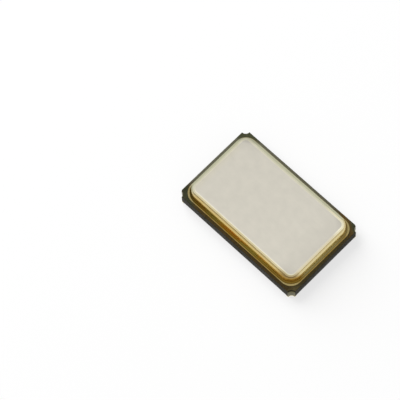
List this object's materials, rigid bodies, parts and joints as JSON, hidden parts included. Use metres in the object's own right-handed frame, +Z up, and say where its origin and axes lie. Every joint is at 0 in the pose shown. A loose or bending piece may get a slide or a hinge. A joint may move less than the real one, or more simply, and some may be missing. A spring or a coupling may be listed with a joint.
{
  "type": "crystal oscillator",
  "caption": "Surface-mount crystal oscillator: dark ceramic base with gold corner terminals, brazed seal ring and flat welded metal lid over a quartz plate and a wire-bonded die.",
  "frame": {"origin": "middle of the soldering face, on the plane of the four pads", "axes": "+X along the length, towards the end with the second and third terminals; +Y along the width; +Z up through the lid"},
  "size_m": [0.005, 0.0032, 0.0008],
  "materials": {
    "dark_ceramic": "matte",
    "gold_plating": "satin",
    "rim_plating": "satin",
    "braze_metal": "satin",
    "ring_plating": "satin",
    "lid_metal": "satin",
    "silver_adhesive": "matte",
    "silicon": "gloss",
    "gold_wire": "gloss",
    "quartz": "gloss",
    "silver_film": "satin"
  },
  "bodies": {
    "root": {"ceramic_base": "dark_ceramic", "terminal_1": "gold_plating", "terminal_2": "gold_plating", "terminal_3": "gold_plating", "terminal_4": "gold_plating", "crystal_lead_1": "gold_plating", "crystal_lead_2": "gold_plating", "die_pad": "gold_plating", "rim_metallisation": "rim_plating", "braze_joint": "braze_metal", "seal_ring": "ring_plating", "lid": "lid_metal", "die_adhesive": "silver_adhesive", "oscillator_die": "silicon", "bond_wire_1": "gold_wire", "bond_wire_2": "gold_wire", "bond_wire_3": "gold_wire", "bond_wire_4": "gold_wire", "bond_wire_5": "gold_wire", "bond_wire_6": "gold_wire", "crystal_adhesive_1": "silver_adhesive", "crystal_adhesive_2": "silver_adhesive", "quartz_blank": "quartz", "lower_electrode": "silver_film", "upper_electrode": "silver_film"}
  },
  "joints": []
}
